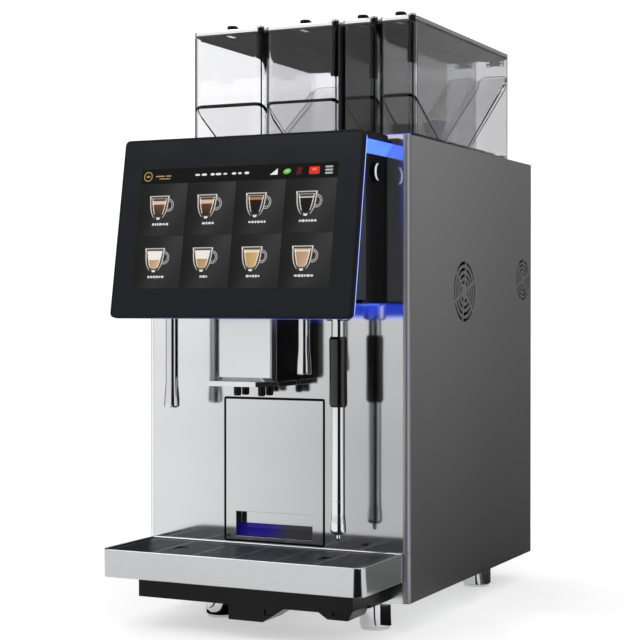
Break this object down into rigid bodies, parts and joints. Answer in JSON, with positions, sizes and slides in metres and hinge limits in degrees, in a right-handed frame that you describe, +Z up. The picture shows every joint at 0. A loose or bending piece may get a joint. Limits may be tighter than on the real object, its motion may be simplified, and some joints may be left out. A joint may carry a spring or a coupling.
{
  "type": "hot coffee vending machine",
  "caption": "Counter-top bean-to-cup coffee machine with touch screen, spout head, steam wand, drip tray, grounds drawer and lift-off bean and powder hoppers.",
  "frame": {"origin": "middle of the footprint at the underside of the feet", "axes": "+Z up, the front with the screen faces -Y, +X to the right seen from the front"},
  "size_m": [0.35, 0.569, 0.7249],
  "materials": {
    "painted_grey": "satin powder coat",
    "mirror_steel": "polished stainless steel",
    "satin_steel": "fine brushed stainless steel",
    "zinc_steel": "zinc-plated sheet",
    "polished_steel": "polished",
    "grid_steel": "dark coated sheet",
    "black_plastic": "fine moulded",
    "charcoal_plastic": "satin charcoal",
    "display_glass": "gloss cover glass over a display",
    "blue_diffuser": "lit translucent acrylic",
    "grip_rubber": "soft matt",
    "clear_plastic": "clear, slightly smoked",
    "boiler_steel": "satin",
    "brass": "machined",
    "board_green": "solder mask"
  },
  "bodies": {
    "cabinet": {"side_panel_left": "painted_grey", "side_panel_right": "painted_grey", "corner_trims": "satin_steel", "front_panel": "mirror_steel", "lower_front_plate": "satin_steel", "base_plate": "zinc_steel", "top_deck": "painted_grey", "rear_panel": "zinc_steel", "feet": "polished_steel", "lower_housing": "black_plastic", "screen_hinge": "zinc_steel", "head_block": "black_plastic", "lock_ring": "polished_steel", "hood_roof": "black_plastic", "light_diffuser": "blue_diffuser", "hot_water_spout": "polished_steel", "drink_spout": "polished_steel", "wand_bracket": "polished_steel", "hopper_divider": "charcoal_plastic", "inner_frame": "zinc_steel", "grinders": "black_plastic", "powder_mixers": "black_plastic", "boiler": "boiler_steel", "brew_unit": "black_plastic", "water_pump": "brass", "power_supply": "boiler_steel", "control_board": "board_green", "fan_frames": "zinc_steel", "power_inlet": "black_plastic", "water_fittings": "brass"},
    "tray": {"drip_tray": "satin_steel", "drip_grid": "grid_steel"},
    "drawer": {"drawer_front": "mirror_steel", "grounds_bin": "black_plastic"},
    "screen": {"screen_bezel": "charcoal_plastic", "display_glass": "display_glass", "screen_pod": "black_plastic"},
    "lock": {"lock_cylinder": "polished_steel"},
    "spout_head": {"head_cover": "satin_steel", "head_body": "black_plastic", "head_plate": "polished_steel", "spout_nozzles": "black_plastic"},
    "wand_swivel": {"wand_collar": "polished_steel"},
    "steam_wand": {"wand_tube": "polished_steel", "wand_grip": "grip_rubber", "wand_tip": "polished_steel"},
    "fan_big": {"fan_rotor_big": "black_plastic"},
    "fan_small": {"fan_rotor_small": "black_plastic"},
    "hopper_1": {"hopper_1": "clear_plastic"},
    "lid_1": {"lid_1": "charcoal_plastic"},
    "knob_1": {"lid_knob_1": "polished_steel"},
    "hopper_2": {"hopper_2": "clear_plastic"},
    "lid_2": {"lid_2": "charcoal_plastic"},
    "knob_2": {"lid_knob_2": "polished_steel"},
    "hopper_3": {"hopper_3": "clear_plastic"},
    "lid_3": {"lid_3": "charcoal_plastic"},
    "knob_3": {"lid_knob_3": "polished_steel"},
    "hopper_4": {"hopper_4": "clear_plastic"},
    "lid_4": {"lid_4": "charcoal_plastic"},
    "knob_4": {"lid_knob_4": "polished_steel"}
  },
  "joints": [
    {"name": "tray_slide", "type": "slide", "parent": "cabinet", "child": "tray", "axis": [0, -1, 0], "range_m": [0, 0.15]},
    {"name": "drawer_slide", "type": "slide", "parent": "cabinet", "child": "drawer", "axis": [0, -1, 0], "range_m": [0, 0.2]},
    {"name": "screen_swing", "type": "hinge", "parent": "cabinet", "child": "screen", "pos_m": [-0.15, -0.2275, 0.455], "axis": [0, 0, -1], "range_deg": [0, 90]},
    {"name": "lock_turn", "type": "hinge", "parent": "cabinet", "child": "lock", "pos_m": [0.146, -0.195, 0.533], "axis": [1, 0, 0], "range_deg": [0, 90]},
    {"name": "head_slide", "type": "slide", "parent": "cabinet", "child": "spout_head", "axis": [0, 0, 1], "range_m": [-0.004, 0.05]},
    {"name": "wand_turn", "type": "hinge", "parent": "cabinet", "child": "wand_swivel", "pos_m": [0.1095, -0.2175, 0.368], "axis": [0, 0, 1], "range_deg": [0, 60]},
    {"name": "wand_swing", "type": "hinge", "parent": "wand_swivel", "child": "steam_wand", "pos_m": [0.1095, -0.2175, 0.368], "axis": [-1, 0, 0], "range_deg": [0, 45]},
    {"name": "fan_big_spin", "type": "hinge", "parent": "cabinet", "child": "fan_big", "pos_m": [0.16, 0.0185, 0.398], "axis": [1, 0, 0], "continuous": true},
    {"name": "fan_small_spin", "type": "hinge", "parent": "cabinet", "child": "fan_small", "pos_m": [0.16, 0.2485, 0.416], "axis": [1, 0, 0], "continuous": true},
    {"name": "hopper_1_lift", "type": "slide", "parent": "cabinet", "child": "hopper_1", "axis": [0, 0, 1], "range_m": [0, 0.06]},
    {"name": "lid_1_swing", "type": "hinge", "parent": "hopper_1", "child": "lid_1", "pos_m": [-0.0737, 0.197, 0.709], "axis": [-1, 0, 0], "range_deg": [0, 95]},
    {"name": "knob_1_turn", "type": "hinge", "parent": "lid_1", "child": "knob_1", "pos_m": [-0.0737, -0.1305, 0.719], "axis": [0, 0, 1], "range_deg": [0, 90]},
    {"name": "hopper_2_lift", "type": "slide", "parent": "cabinet", "child": "hopper_2", "axis": [0, 0, 1], "range_m": [0, 0.06]},
    {"name": "lid_2_swing", "type": "hinge", "parent": "hopper_2", "child": "lid_2", "pos_m": [0.0267, 0.197, 0.709], "axis": [-1, 0, 0], "range_deg": [0, 95]},
    {"name": "knob_2_turn", "type": "hinge", "parent": "lid_2", "child": "knob_2", "pos_m": [0.0267, -0.1305, 0.719], "axis": [0, 0, 1], "range_deg": [0, 90]},
    {"name": "hopper_3_lift", "type": "slide", "parent": "cabinet", "child": "hopper_3", "axis": [0, 0, 1], "range_m": [0, 0.06]},
    {"name": "lid_3_swing", "type": "hinge", "parent": "hopper_3", "child": "lid_3", "pos_m": [0.1028, 0.197, 0.709], "axis": [-1, 0, 0], "range_deg": [0, 95]},
    {"name": "knob_3_turn", "type": "hinge", "parent": "lid_3", "child": "knob_3", "pos_m": [0.1028, -0.1305, 0.719], "axis": [0, 0, 1], "range_deg": [0, 90]},
    {"name": "hopper_4_lift", "type": "slide", "parent": "cabinet", "child": "hopper_4", "axis": [0, 0, 1], "range_m": [0, 0.06]},
    {"name": "lid_4_swing", "type": "hinge", "parent": "hopper_4", "child": "lid_4", "pos_m": [0.1514, 0.197, 0.709], "axis": [-1, 0, 0], "range_deg": [0, 95]},
    {"name": "knob_4_turn", "type": "hinge", "parent": "lid_4", "child": "knob_4", "pos_m": [0.1514, -0.1305, 0.719], "axis": [0, 0, 1], "range_deg": [0, 90]}
  ]
}
